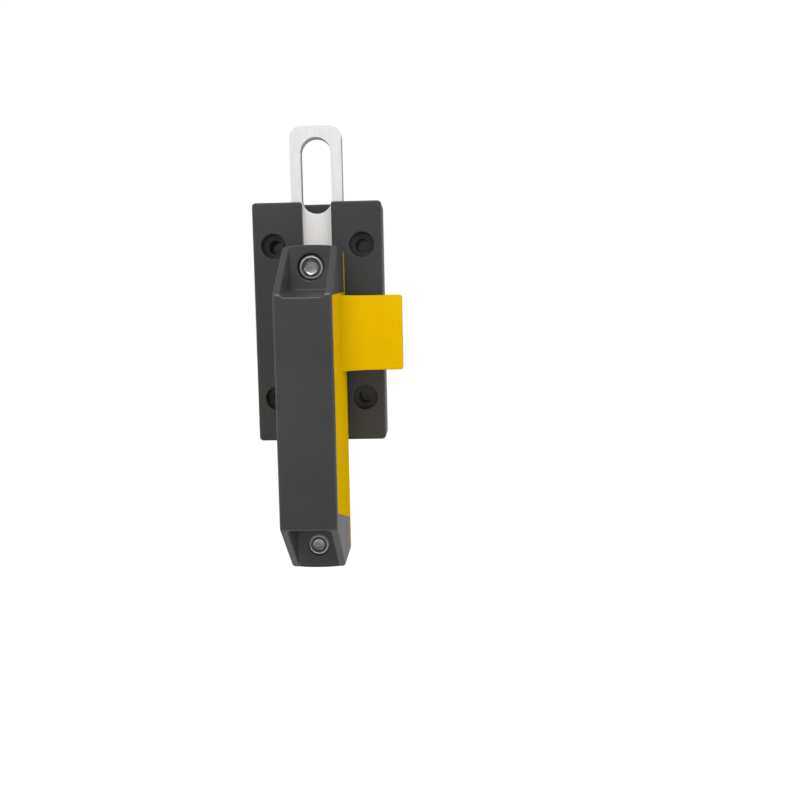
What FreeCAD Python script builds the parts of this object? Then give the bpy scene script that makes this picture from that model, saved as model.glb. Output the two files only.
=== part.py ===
"""Door handle actuator of a safety interlock: base, padlock slide, turning handle and tongue.

Millimetres. +Z is up along the door and the front faces -Y. The origin is the centre of the
mounting holes, on the back face of the base. Heights named LEVEL are measured forwards from
the front of the base.
"""
import FreeCAD
import Part
import math
import os

V = FreeCAD.Vector

# Base
BASE_WIDTH = 60.0
BASE_HEIGHT = 111.0
BASE_DEPTH = 20.0
BASE_CORNER_R = 1.8
BASE_EDGE_R = 0.8
HOLE_SPACING_X = 41.0
HOLE_SPACING_Z = 71.0
HOLE_D = 6.6
HEAD_POCKET_D = 11.5
HEAD_POCKET_DEPTH = 7.5
RIM_CHAMFER = 0.35
HUB_BOSS_D = 30.0
HUB_BOSS_HEIGHT = 2.5
HUB_BOSS_CHAMFER = 0.5

# Open cells in the base's back
BACK_WALL = 3.0
CELL_DEPTH = 6.0
CELL_RIB = 2.0
CELL_ROW = 8.5
BACK_BOSS_D = 13.0

# Padlock slide and its channel, drawn pulled out
SLIDE_WIDTH = 24.0
SLIDE_THICKNESS = 6.0
SLIDE_REACH = 35.3
SLIDE_LENGTH = 75.0
SLIDE_CORNER_R = 6.0
SLIDE_EDGE_R = 0.3
SLOT_WIDTH = 14.1
SLOT_LENGTH = 34.9
SLOT_RIM = 5.6
SLIDE_TRAVEL = 30.0
SLIDE_PLAY = 0.15
LIP_DEPTH = 3.0
CHANNEL_WIDTH = 13.6
CHANNEL_LENGTH = 33.5
CHANNEL_CORNER_R = 1.2
FORK_CLEARANCE = 2.0
MOUTH_LEAD = 0.9

# Slide's stop pin and detent, placed from the drawn-out slide's lower end
STOP_PIN_D = 3.0
SLIDE_STOP_UP = 2.7
SLIDE_STOP_BITE = 1.9
DETENT_UP = 6.7
DETENT_BALL_D = 3.0
DETENT_SPRING_LENGTH = 3.8
PLUG_D = 4.0
PLUG_LENGTH = 3.4
DIMPLE_DEPTH = 0.7
DIMPLE_R = 0.9

# Spindle and index mechanism
SPINDLE_DROP = 5.2
SPINDLE_D = 12.0
SQUARE = 9.0
SQUARE_LENGTH = 16.0
SQUARE_CORNER_R = 0.8
FLAT_DEPTH = 1.5
SPINDLE_TAIL = 0.8
BUSH_WALL = 1.5
BUSH_FLANGE_D = 20.0
BUSH_FLANGE = 1.0
MID_WALL = 3.0
COVER_THICKNESS = 2.0
COVER_WIDTH = 55.0
COVER_HEIGHT = 40.0
COVER_CORNER_R = 4.0
COVER_SCREW_X = 22.5
COVER_SCREW_Z = 15.0
DISC_D = 32.0
DISC_THICKNESS = 3.5
CAVITY_PLAY = 2.0
INDEX_BALL_D = 4.0
INDEX_SPRING_LENGTH = 6.0
NOTCH_DEPTH = 1.2
STOP_RADIUS = 11.0
STOP_PIN_SINK = 2.5
HANDLE_SWING = 90.0
RING_THICKNESS = 1.0
RING_WALL = 2.2
RING_BITE = 0.6
WASHER_D = 26.0
WASHER_THICKNESS = 0.8
HUB_SCREW_WASHER_D = 15.0
HUB_SCREW_WASHER = 1.2

# Handle, measured from the spindle's axis
GRIP_WIDTH = 23.4
GRIP_OFFSET = 1.2
GRIP_ABOVE = 37.8
GRIP_BELOW = 101.8
TOP_SLOPE = 21.8
BOTTOM_SLOPE = 23.8
BACK_LEVEL = 7.7
END_LEVEL = 34.6
FRONT_LEVEL = 64.4
END_BOW = 0.8
END_CORNER_R = 1.6
FOLD_R = 2.5
GRIP_EDGE_R = 0.9
RIDGE = 3.0
POCKET_CORNER_R = 1.8
POCKET_RIM_R = 0.8
RISER_WALL = 2.2
FLOOR_WALL = 3.0
FRONT_WALL = 3.4
SHELL_WALL = 3.0
PART_GAP = 0.1

# Pocket risers and the line between yellow and black, outwards from the ends of the flat front
TOP_RISER_START = -1.1
TOP_RISER_FOOT = 2.9
BOTTOM_RISER_START = 0.2
BOTTOM_RISER_FOOT = 1.8
TOP_SEAM_FRONT = -0.3
TOP_SEAM_BACK = 2.6
BOTTOM_SEAM_FRONT = -5.7
BOTTOM_SEAM_BACK = 7.2

# Yellow actuator
PLATE_THICKNESS = 3.5
CORE_WALL = 3.0
CORE_RIB = 2.5
CORE_RIBS = 3
HUB_D = 26.0
HUB_BLOCK = 22.0
HUB_TOP_LEVEL = 28.0
TONGUE_REACH = 39.1
TONGUE_HEIGHT = 33.5
TONGUE_THICKNESS = 8.0
TONGUE_FILLET_R = 15.0
TONGUE_EDGE_R = 0.7
TONGUE_CORNER_R = 1.0
TARGET_D = 18.0
TARGET_DEPTH = 4.0
TARGET_COVER = 1.0
TARGET_FROM_TIP = 13.0

# Screws
TOP_SCREW_INSET = 9.3
BOTTOM_SCREW_INSET = 9.8
TOP_SCREW = {"thread": 6.0, "head": 10.0, "head_h": 6.0, "socket": 5.0, "length": 16.0}
BOTTOM_SCREW = {"thread": 5.0, "head": 8.5, "head_h": 5.0, "socket": 4.0, "length": 16.0}
HUB_SCREW = {"thread": 5.0, "head": 8.5, "head_h": 5.0, "socket": 4.0, "length": 12.0}
COVER_SCREW = {"thread": 3.0, "head": 5.6, "head_rim": 0.2, "socket": 2.0, "length": 8.0}
SOCKET_SHARE = 0.5
HEAD_ROUND_SHARE = 0.1
TIP_CHAMFER_SHARE = 0.08
TOP_POCKET_D = 11.6
BOTTOM_POCKET_D = 9.1
TOP_HEAD_SINK = 1.2
BOTTOM_HEAD_SINK = 0.6
SCREW_BOSS_D = 16.0
INSERT_BOSS_D = 13.0
INSERT_WALL = 1.2
INSERT_WAIST = 0.4
INSERT_LENGTH = 8.0
INSERT_LEVEL = 20.0
HOLE_PLAY = 0.2
PRESS_PLAY = 0.02
RUN_PLAY = 0.05
WIRE_D = 0.5

# Places worked out from the sizes above
SPINDLE_Z = -SPINDLE_DROP
BASE_TOP = BASE_HEIGHT / 2
SLIDE_TOP = BASE_TOP + SLIDE_REACH
SLIDE_BOTTOM = SLIDE_TOP - SLIDE_LENGTH
SLIDE_RAIL_X = (SLIDE_WIDTH + SLOT_WIDTH) / 4
TUNNEL_DEPTH = LIP_DEPTH + SLIDE_THICKNESS + 2 * SLIDE_PLAY
CAVITY_DEPTH = TUNNEL_DEPTH + MID_WALL
GRIP_X = GRIP_OFFSET
GRIP_LEFT = GRIP_X - GRIP_WIDTH / 2
GRIP_RIGHT = GRIP_X + GRIP_WIDTH / 2
POCKET_WIDTH = GRIP_WIDTH - 2 * RIDGE
SHELL_BACK_LEVEL = BACK_LEVEL + PLATE_THICKNESS
CORE_FRONT_LEVEL = FRONT_LEVEL - FRONT_WALL
GRIP_TOP = SPINDLE_Z + GRIP_ABOVE
GRIP_LOW = SPINDLE_Z - GRIP_BELOW
FLAT_TOP = GRIP_TOP - TOP_SLOPE
FLAT_LOW = GRIP_LOW + BOTTOM_SLOPE
CORE_TOP = FLAT_TOP + TOP_RISER_START - RISER_WALL
CORE_BOTTOM = FLAT_LOW - BOTTOM_RISER_START + RISER_WALL
TOP_SCREW_Z = GRIP_TOP - TOP_SCREW_INSET
BOTTOM_SCREW_Z = GRIP_LOW + BOTTOM_SCREW_INSET
SLIDE_STOP_Z = SLIDE_BOTTOM + SLIDE_STOP_UP
DETENT_Z = SLIDE_BOTTOM + DETENT_UP
BUSH_D = SPINDLE_D + 2 * (RUN_PLAY + BUSH_WALL)
FAR = 200.0


def front(level):
    """The y of a point that stands this far out of the base's front face."""
    return -BASE_DEPTH - level


def inside(depth):
    """The y of a point this deep behind the base's front face."""
    return -BASE_DEPTH + depth


def block(x0, x1, y0, y1, z0, z1):
    """A box between two corners, given in any order."""
    low = V(min(x0, x1), min(y0, y1), min(z0, z1))
    return Part.makeBox(abs(x1 - x0), abs(y1 - y0), abs(z1 - z0), low)


def rod(d, y0, y1, x=0.0, z=0.0):
    """A round bar along Y between two depths."""
    low = min(y0, y1)
    return Part.makeCylinder(d / 2, abs(y1 - y0), V(x, low, z), V(0, 1, 0))


def rounded_wire(points, radii):
    """A closed outline through the points, each corner rounded by its own radius."""
    count = len(points)
    ends = []
    for i, point in enumerate(points):
        back = (points[i - 1] - point).normalize()
        ahead = (points[(i + 1) % count] - point).normalize()
        if not radii[i]:
            ends.append((point, None, point))
            continue
        half = back.getAngle(ahead) / 2
        reach = radii[i] / math.tan(half)
        middle = (back + ahead).normalize() * (radii[i] / math.sin(half) - radii[i])
        ends.append((point + back * reach, point + middle, point + ahead * reach))
    edges = []
    for i, (start, middle, end) in enumerate(ends):
        if middle:
            edges.append(Part.Arc(start, middle, end).toShape())
        following = ends[(i + 1) % count][0]
        if (following - end).Length > 1e-6:
            edges.append(Part.LineSegment(end, following).toShape())
    return Part.Wire(edges)


def prism(wire, direction):
    """The solid that a closed outline sweeps along a direction."""
    return Part.Face(wire).extrude(direction)


def frontal(points, radii, y0, y1):
    """A solid drawn as x and z pairs and carried from one depth to another."""
    wire = rounded_wire([V(x, y0, z) for x, z in points], radii)
    return prism(wire, V(0, y1 - y0, 0))


def lateral(points, radii, x0, x1):
    """A solid drawn as level and z pairs and carried from one x to another."""
    wire = rounded_wire([V(x0, front(level), z) for level, z in points], radii)
    return prism(wire, V(x1 - x0, 0, 0))


def rectangle(width, height, r, y0, y1, x=0.0, z=0.0):
    """A rounded rectangular block about a centre."""
    w, h = width / 2, height / 2
    corners = [(x - w, z - h), (x + w, z - h), (x + w, z + h), (x - w, z + h)]
    return frontal(corners, [r] * 4, y0, y1)


def slot(width, length, y0, y1, x, z_low):
    """A slot with round ends, upright, from its lowest point."""
    return rectangle(width, length, width / 2 - 1e-3, y0, y1, x, z_low + length / 2)


def hexagon(across, y0, y1, x, z):
    """A six-sided bar along Y."""
    r = across / math.sqrt(3)
    turns = [math.radians(60 * i + 30) for i in range(6)]
    points = [(x + r * math.cos(a), z + r * math.sin(a)) for a in turns]
    return frontal(points, [0] * 6, y0, y1)


def turned(profile, x=0.0, z=0.0):
    """A turned solid about a line along Y, from radius and y pairs."""
    points = [V(x + r, y, z) for r, y in profile]
    face = Part.Face(Part.makePolygon(points + points[:1]))
    return face.revolve(V(x, 0, z), V(0, 1, 0), 360)


def rounded(solid, radius, wanted):
    """The solid with the wanted edges rounded."""
    return solid.makeFillet(radius, [e for e in solid.Edges if wanted(e.BoundBox)])


def spring(coil_d, length, turns, start, direction):
    """A coil spring that starts at a point and runs along a direction, in tilted half turns."""
    rise, y_axis = length / (2 * turns), V(0, 1, 0)
    halves = []
    for i in range(2 * turns):
        side = (1 if i % 2 == 0 else -1) * coil_d / 2
        ring = Part.makeCircle(WIRE_D / 2, V(side, 0, i * rise), y_axis)
        tilt = V(-2 * side, 0, rise).cross(y_axis if side < 0 else -y_axis)
        halves.append(Part.Face(Part.Wire(ring)).revolve(V(0, 0, (i + 0.5) * rise), tilt, 180))
    coil = halves[0].fuse(halves[1:]).removeSplitter()
    coil.Placement = FreeCAD.Placement(start, FreeCAD.Rotation(V(0, 0, 1), direction))
    return coil


def hexagon_socket(across, depth, top, x, z):
    """The room of a hexagon socket with a countersunk mouth and a drilled floor."""
    floor, mouth = top + depth, across / math.sqrt(3) + PART_GAP
    drive = hexagon(across, top, floor, x, z)
    countersink = turned([(0, top), (mouth, top), (0, top + mouth / math.sqrt(3))], x, z)
    drilled = turned([(0, floor), (across / 2, floor), (0, floor + across / 2 / math.sqrt(3))], x, z)
    return drive.fuse([countersink, drilled])


def socket_screw(size, seat_y, x, z):
    """A socket head screw whose head stands forwards of its seat."""
    r, head_r, top = size["thread"] / 2, size["head"] / 2, seat_y - size["head_h"]
    chamfer, tip = TIP_CHAMFER_SHARE * size["head"], seat_y + size["length"]
    profile = [
        (0, top), (head_r, top), (head_r, seat_y), (r, seat_y), (r, tip - chamfer), (r - chamfer, tip),
        (0, tip),
    ]
    head_edge = lambda b: b.YMax < top + 1e-3 and b.XLength > head_r
    body = rounded(turned(profile, x, z), HEAD_ROUND_SHARE * size["head"], head_edge)
    return body.cut(hexagon_socket(size["socket"], SOCKET_SHARE * size["head_h"], top, x, z))


def hole_places():
    """The centres of the four mounting holes."""
    signs = [(1, 1), (-1, 1), (-1, -1), (1, -1)]
    return [(sx * HOLE_SPACING_X / 2, sz * HOLE_SPACING_Z / 2) for sx, sz in signs]


def cover_screw_places():
    """The centres of the back cover's four screws."""
    signs = [(1, 1), (-1, 1), (-1, -1), (1, -1)]
    return [(sx * COVER_SCREW_X, SPINDLE_Z + sz * COVER_SCREW_Z) for sx, sz in signs]


def base_block():
    """The outside of the base with its edges broken and the hub's boss."""
    body = rectangle(BASE_WIDTH, BASE_HEIGHT, BASE_CORNER_R, front(0), 0)
    body = rounded(body, BASE_EDGE_R, lambda b: b.YMax < front(0) + 1e-3)
    boss_r, top = HUB_BOSS_D / 2, front(HUB_BOSS_HEIGHT)
    c = HUB_BOSS_CHAMFER
    profile = [(0, inside(1)), (boss_r, inside(1)), (boss_r, top + c), (boss_r - c, top), (0, top)]
    return body.fuse(turned(profile, 0, SPINDLE_Z))


def mounting_hole(x, z):
    """A through hole with a pocket for the screw's head and a broken rim."""
    r, floor = HEAD_POCKET_D / 2, inside(HEAD_POCKET_DEPTH)
    profile = [
        (0, front(1)), (r + RIM_CHAMFER, front(1)), (r + RIM_CHAMFER, front(0)),
        (r, front(0) + RIM_CHAMFER), (r, floor), (HOLE_D / 2, floor), (HOLE_D / 2, 1), (0, 1),
    ]
    return turned(profile, x, z)


def slide_room():
    """The tunnel that guides the slide and the channel that shows it."""
    half = SLIDE_WIDTH / 2 + SLIDE_PLAY
    low = SLIDE_BOTTOM - SLIDE_TRAVEL - FORK_CLEARANCE
    tunnel = block(-half, half, inside(LIP_DEPTH), inside(TUNNEL_DEPTH), low, BASE_TOP + 1)
    rear, deep = -TUNNEL_DEPTH, -TUNNEL_DEPTH - MOUTH_LEAD
    lead_in = [
        (rear, BASE_TOP - MOUTH_LEAD), (deep, BASE_TOP),
        (deep, BASE_TOP + 1), (rear, BASE_TOP + 1),
    ]
    tunnel = tunnel.fuse(lateral(lead_in, [0] * 4, -half, half))
    side, foot = CHANNEL_WIDTH / 2, BASE_TOP - CHANNEL_LENGTH
    flare, r = side + 2 * CHANNEL_CORNER_R, CHANNEL_CORNER_R
    outline = [
        (-side, foot), (side, foot), (side, BASE_TOP), (flare, BASE_TOP),
        (flare, BASE_TOP + r), (-flare, BASE_TOP + r), (-flare, BASE_TOP), (-side, BASE_TOP),
    ]
    radii = [r, r, r, 0, 0, 0, 0, r]
    return tunnel.fuse(frontal(outline, radii, front(1), inside(LIP_DEPTH)))


def index_ball_x():
    """How far from the spindle a drawn-back index ball has its centre."""
    return DISC_D / 2 + INDEX_BALL_D / 2 + 2 * RUN_PLAY


def mechanism_room():
    """The round cavity, the ball channels and the cover's seat in the base's back."""
    cavity = rod(DISC_D + 2 * CAVITY_PLAY, inside(CAVITY_DEPTH), 1, 0, SPINDLE_Z)
    half = INDEX_BALL_D / 2 + RUN_PLAY
    reach = index_ball_x() + INDEX_BALL_D / 2 + INDEX_SPRING_LENGTH
    channel = block(-reach, reach, inside(CAVITY_DEPTH), 1, SPINDLE_Z - half, SPINDLE_Z + half)
    seat = rectangle(
        COVER_WIDTH + 2 * PART_GAP, COVER_HEIGHT + 2 * PART_GAP, COVER_CORNER_R,
        -COVER_THICKNESS, 1, 0, SPINDLE_Z,
    )
    room = cavity.fuse([channel, seat])
    for x, z in cover_screw_places():
        room = room.fuse(rod(COVER_SCREW["thread"] + PRESS_PLAY, -COVER_SCREW["length"] - 1, 0, x, z))
    return room


def spindle_bores():
    """The bores for both bushes."""
    tube = rod(BUSH_D, front(HUB_BOSS_HEIGHT) - 1, inside(CAVITY_DEPTH) + 1, 0, SPINDLE_Z)
    flange_seat = front(HUB_BOSS_HEIGHT) + BUSH_FLANGE
    return tube.fuse(rod(BUSH_FLANGE_D + 2 * RUN_PLAY, flange_seat, front(HUB_BOSS_HEIGHT) - 1, 0, SPINDLE_Z))


def stop_pin_place():
    """The centre of the pin that ends the handle's turn, below the spindle."""
    return 0.0, SPINDLE_Z - STOP_RADIUS


def slide_stop_x():
    """The stop pin's centre, where it bites into the slide's left edge."""
    return -SLIDE_WIDTH / 2 + SLIDE_STOP_BITE - STOP_PIN_D / 2


def back_cells():
    """Open cells that keep the moulding's walls even, with ribs between and bosses round the holes."""
    half, deep = BASE_WIDTH / 2 - BACK_WALL, -CELL_DEPTH
    upper = (DETENT_Z + PLUG_D / 2 + BACK_WALL, BASE_TOP - BACK_WALL)
    lower = (BACK_WALL - BASE_TOP, SPINDLE_Z - COVER_HEIGHT / 2 - BACK_WALL)
    columns = [i * HOLE_SPACING_X / 4 for i in range(-2, 3)]
    rows = [sign * (HOLE_SPACING_Z / 2 + step) for sign in (-1, 1) for step in (0, CELL_ROW)]
    cells = []
    for low, high in (upper, lower):
        cell = block(-half, half, deep, 1, low, high)
        ribs = [block(x - CELL_RIB / 2, x + CELL_RIB / 2, deep, 1, low, high) for x in columns]
        ribs += [block(-half, half, deep, 1, z - CELL_RIB / 2, z + CELL_RIB / 2) for z in rows]
        bosses = [rod(BACK_BOSS_D, deep, 1, x, z) for x, z in hole_places()]
        cells.append(cell.cut(ribs + bosses))
    return cells


def pin_bores():
    """The bores of both stop pins and of the slide's detent."""
    pin_d = STOP_PIN_D + 2 * PRESS_PLAY
    x, z = stop_pin_place()
    handle_stop = rod(pin_d, inside(CAVITY_DEPTH - STOP_PIN_SINK), 0, x, z)
    slide_stop = rod(pin_d, inside(LIP_DEPTH / 2), 1, slide_stop_x(), SLIDE_STOP_Z)
    ball = rod(DETENT_BALL_D + 2 * RUN_PLAY, inside(LIP_DEPTH + 1), 1, SLIDE_RAIL_X, DETENT_Z)
    plug = rod(PLUG_D + 2 * PRESS_PLAY, detent_plug_y(), 1, SLIDE_RAIL_X, DETENT_Z)
    return handle_stop.fuse([slide_stop, ball, plug])


def detent_ball_y():
    """The drawn-back detent ball's centre, just behind the slide."""
    return inside(TUNNEL_DEPTH - SLIDE_PLAY + DETENT_BALL_D / 2 + RUN_PLAY)


def detent_plug_y():
    """Where the detent spring ends and its plug starts."""
    return detent_ball_y() + DETENT_BALL_D / 2 + DETENT_SPRING_LENGTH


def base_housing():
    """The black base with every hole and room cut into it."""
    body = base_block()
    for x, z in hole_places():
        body = body.cut(mounting_hole(x, z))
    for room in [slide_room(), mechanism_room(), spindle_bores(), pin_bores()] + back_cells():
        body = body.cut(room)
    return body


def back_cover():
    """The plate over the mechanism, flush with the base's back."""
    plate = rectangle(COVER_WIDTH, COVER_HEIGHT, COVER_CORNER_R - PART_GAP, -COVER_THICKNESS, 0, 0, SPINDLE_Z)
    for x, z in cover_screw_places():
        plate = plate.cut(countersunk(COVER_SCREW, x, z, HOLE_PLAY / 2))
    return plate


def countersunk(size, x, z, play):
    """The outside of a countersunk screw flush with the back face, grown by a play."""
    r, head_r = size["thread"] / 2 + play, size["head"] / 2 + play
    top = play and 1.0
    cone = -size["head_rim"]
    profile = [
        (0, top), (head_r, top), (head_r, cone), (r, cone - (head_r - r)), (r, -size["length"]),
        (0, -size["length"]),
    ]
    return turned(profile, x, z)


def cover_screws():
    """Four countersunk screws with hexagon sockets."""
    screws, across = [], COVER_SCREW["socket"]
    for x, z in cover_screw_places():
        drive = hexagon(across, -SOCKET_SHARE * across, 1, x, z)
        screws.append(countersunk(COVER_SCREW, x, z, 0).cut(drive))
    return Part.makeCompound(screws)


def front_bush():
    """The flanged bush in the base's front wall."""
    top = front(HUB_BOSS_HEIGHT)
    body = rod(BUSH_D - 2 * PRESS_PLAY, top, inside(LIP_DEPTH), 0, SPINDLE_Z)
    flange = rod(BUSH_FLANGE_D, top, top + BUSH_FLANGE, 0, SPINDLE_Z)
    bore = rod(SPINDLE_D + 2 * RUN_PLAY, top - 1, 0, 0, SPINDLE_Z)
    return body.fuse(flange).cut(bore)


def rear_bush():
    """The plain bush in the wall behind the slide."""
    body = rod(BUSH_D - 2 * PRESS_PLAY, inside(TUNNEL_DEPTH), inside(CAVITY_DEPTH), 0, SPINDLE_Z)
    return body.cut(rod(SPINDLE_D + 2 * RUN_PLAY, inside(0), 0, 0, SPINDLE_Z))


def hub_washer():
    """The sliding washer that lies on the base's hub boss."""
    low = front(HUB_BOSS_HEIGHT)
    disc = rod(WASHER_D, low - WASHER_THICKNESS, low, 0, SPINDLE_Z)
    return disc.cut(rod(SPINDLE_D + 4 * RUN_PLAY, low - 2, low + 1, 0, SPINDLE_Z))


def disc_y():
    """The front of the index disc."""
    return inside(CAVITY_DEPTH) + 2 * SLIDE_PLAY


def ring_y():
    """The front of the retaining ring, just behind the disc."""
    return disc_y() + DISC_THICKNESS + PART_GAP


def arc_groove():
    """The round groove in the disc that the handle's stop pin runs in."""
    wide = STOP_PIN_D + 4 * RUN_PLAY
    low, high = STOP_RADIUS - wide / 2, STOP_RADIUS + wide / 2
    middle, y0, y1 = V(0, disc_y() - 1, SPINDLE_Z), disc_y() - 1, ring_y() + 1
    deep = y1 - y0
    sweep = HANDLE_SWING
    outer = Part.makeCylinder(high, deep, middle, V(0, 1, 0), 360)
    inner = Part.makeCylinder(low, deep, middle, V(0, 1, 0), 360)
    ring = outer.cut(inner)
    start, end = math.radians(-90), math.radians(-90 + sweep)
    far = high * 3
    corners = [(0, SPINDLE_Z)]
    for share in (0.0, 0.5, 1.0):
        a = start + share * (end - start)
        corners.append((far * math.cos(a), SPINDLE_Z + far * math.sin(a)))
    groove = ring.common(frontal(corners, [0] * len(corners), y0, y1))
    for a in (start, end):
        x, z = STOP_RADIUS * math.cos(a), SPINDLE_Z + STOP_RADIUS * math.sin(a)
        groove = groove.fuse(rod(wide, y0, y1, x, z))
    return groove


def index_disc():
    """The notched disc on the spindle, with its end-stop groove."""
    disc = rod(DISC_D, disc_y(), disc_y() + DISC_THICKNESS, 0, SPINDLE_Z)
    notch_r = INDEX_BALL_D / 2 + RUN_PLAY
    reach = DISC_D / 2 + notch_r - NOTCH_DEPTH
    for i in range(4):
        a = math.radians(90 * i)
        x, z = reach * math.cos(a), SPINDLE_Z + reach * math.sin(a)
        disc = disc.cut(rod(2 * notch_r, disc_y() - 1, ring_y() + 1, x, z))
    bore = rod(SPINDLE_D + 2 * PRESS_PLAY, disc_y() - 1, ring_y() + 1, 0, SPINDLE_Z)
    flat = spindle_flat(PRESS_PLAY)
    return disc.cut(arc_groove()).cut(bore.cut(flat))


def spindle_flat(play):
    """What the spindle's end loses to its driving flat."""
    low = SPINDLE_Z + SPINDLE_D / 2 - FLAT_DEPTH + play
    return block(-SPINDLE_D, SPINDLE_D, disc_y() - PART_GAP, 1, low, low + SPINDLE_D)


def spindle():
    """The turned shaft with a square front end, a flat for the disc and a ring groove."""
    back = ring_y() + RING_THICKNESS + SPINDLE_TAIL
    shoulder = front(BACK_LEVEL)
    shaft = rod(SPINDLE_D, back, shoulder, 0, SPINDLE_Z)
    end = rectangle(SQUARE, SQUARE, SQUARE_CORNER_R, shoulder - SQUARE_LENGTH, shoulder, 0, SPINDLE_Z)
    groove = rod(SPINDLE_D + 2, ring_y() - RUN_PLAY, ring_y() + RING_THICKNESS + RUN_PLAY, 0, SPINDLE_Z)
    core = rod(SPINDLE_D - 2 * RING_BITE, -BASE_DEPTH, 0, 0, SPINDLE_Z)
    tapped = rod(
        HUB_SCREW["thread"] + 2 * PRESS_PLAY, shoulder - SQUARE_LENGTH - 1,
        shoulder - SQUARE_LENGTH + HUB_SCREW["length"] + 1, 0, SPINDLE_Z,
    )
    shaft = shaft.cut(groove.cut(core)).fuse(end)
    return shaft.cut(spindle_flat(0)).cut(tapped)


def retaining_ring():
    """The open ring in the spindle's groove."""
    y0, y1 = ring_y(), ring_y() + RING_THICKNESS
    inner = SPINDLE_D - 2 * RING_BITE + 2 * PRESS_PLAY
    outer = SPINDLE_D + 2 * RING_WALL - 2 * RING_BITE
    ring = rod(outer, y0, y1, 0, SPINDLE_Z).cut(rod(inner, y0 - 1, y1 + 1, 0, SPINDLE_Z))
    mouth = block(-inner / 3, inner / 3, y0 - 1, y1 + 1, SPINDLE_Z, SPINDLE_Z - outer)
    return ring.cut(mouth)


def index_balls():
    """Two balls in their channels, one each side of the disc."""
    y = disc_y() + DISC_THICKNESS / 2
    places = [V(side * index_ball_x(), y, SPINDLE_Z) for side in (-1, 1)]
    return Part.makeCompound([Part.makeSphere(INDEX_BALL_D / 2, p) for p in places])


def index_springs():
    """The springs behind the two balls."""
    y, start = disc_y() + DISC_THICKNESS / 2, index_ball_x() + INDEX_BALL_D / 2
    length = INDEX_SPRING_LENGTH - WIRE_D
    coils = []
    for side in (-1, 1):
        place = V(side * (start + WIRE_D / 2), y, SPINDLE_Z)
        coils.append(spring(INDEX_BALL_D - 1.0, length, 4, place, V(side, 0, 0)))
    return Part.makeCompound(coils)


def stop_pin():
    """The pin in the base that runs in the disc's groove."""
    x, z = stop_pin_place()
    return rod(STOP_PIN_D, inside(CAVITY_DEPTH - STOP_PIN_SINK), disc_y() + DISC_THICKNESS, x, z)


def slide_stop_pin():
    """The pin in the base that ends the slide's travel."""
    return rod(STOP_PIN_D, inside(LIP_DEPTH / 2), -1, slide_stop_x(), SLIDE_STOP_Z)


def slide_detent_ball():
    """The ball that clicks into the slide's back."""
    return Part.makeSphere(DETENT_BALL_D / 2, V(SLIDE_RAIL_X, detent_ball_y(), DETENT_Z))


def slide_detent_spring():
    """The spring behind the slide's detent ball."""
    place = V(SLIDE_RAIL_X, detent_ball_y() + DETENT_BALL_D / 2 + WIRE_D / 2, DETENT_Z)
    return spring(DETENT_BALL_D - 1.0, DETENT_SPRING_LENGTH - WIRE_D, 3, place, V(0, 1, 0))


def slide_detent_plug():
    """The set screw that closes the detent's bore at the back."""
    y = detent_plug_y()
    end = y + PLUG_LENGTH
    drive = hexagon(PLUG_D / 2, end - SOCKET_SHARE * PLUG_LENGTH, end, SLIDE_RAIL_X, DETENT_Z)
    return rod(PLUG_D, y, end, SLIDE_RAIL_X, DETENT_Z).cut(drive)


def lockout_slide():
    """The steel slide with its padlock slot, its fork round the spindle and its stop groove."""
    y0 = inside(LIP_DEPTH + SLIDE_PLAY)
    y1 = y0 + SLIDE_THICKNESS
    w = SLIDE_WIDTH / 2
    outline = [(-w, SLIDE_BOTTOM), (w, SLIDE_BOTTOM), (w, SLIDE_TOP), (-w, SLIDE_TOP)]
    bar = frontal(outline, [1.0, 1.0, SLIDE_CORNER_R, SLIDE_CORNER_R], y0, y1)
    slot_low = SLIDE_TOP - SLOT_RIM - SLOT_LENGTH
    bar = bar.cut(slot(SLOT_WIDTH, SLOT_LENGTH, y0 - 1, y1 + 1, 0, slot_low))
    bar = rounded(bar, SLIDE_EDGE_R, lambda b: b.YLength < 1e-3 and b.ZMin > SLIDE_BOTTOM + 0.1)
    fork_centre = SPINDLE_Z + SLIDE_TRAVEL + FORK_CLEARANCE
    fork_top = fork_centre + SLOT_WIDTH / 2
    fork = slot(SLOT_WIDTH, SLIDE_LENGTH, y0 - 1, y1 + 1, 0, fork_top - SLIDE_LENGTH)
    edge = slide_stop_x() + STOP_PIN_D / 2 + RUN_PLAY
    play = STOP_PIN_D / 2 + RUN_PLAY
    low, high = SLIDE_STOP_Z - play, SLIDE_STOP_Z + SLIDE_TRAVEL + play
    groove = block(-SLIDE_WIDTH, edge, y0 - 1, y1 + 1, low, high)
    bar = bar.cut(fork).cut(groove)
    dimple = [(0, y1 - DIMPLE_DEPTH), (DIMPLE_R, y1), (DIMPLE_R, y1 + 1), (0, y1 + 1)]
    for z in (DETENT_Z, DETENT_Z + SLIDE_TRAVEL):
        bar = bar.cut(turned(dimple, SLIDE_RAIL_X, z))
    return bar


def grip_outline(y0, y1):
    """The handle seen from the front, with bowed ends and round corners."""
    left, right, bow = GRIP_LEFT, GRIP_RIGHT, END_BOW
    upper = [V(left, y0, GRIP_TOP - bow), V(GRIP_X, y0, GRIP_TOP), V(right, y0, GRIP_TOP - bow)]
    lower = [V(right, y0, GRIP_LOW + bow), V(GRIP_X, y0, GRIP_LOW), V(left, y0, GRIP_LOW + bow)]
    edges = [
        Part.Arc(*upper).toShape(), Part.LineSegment(upper[2], lower[0]).toShape(),
        Part.Arc(*lower).toShape(), Part.LineSegment(lower[2], upper[0]).toShape(),
    ]
    body = prism(Part.Wire(edges), V(0, y1 - y0, 0))
    return rounded(body, END_CORNER_R, lambda b: b.XLength < 1e-3 and b.ZLength < 1e-3)


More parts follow.
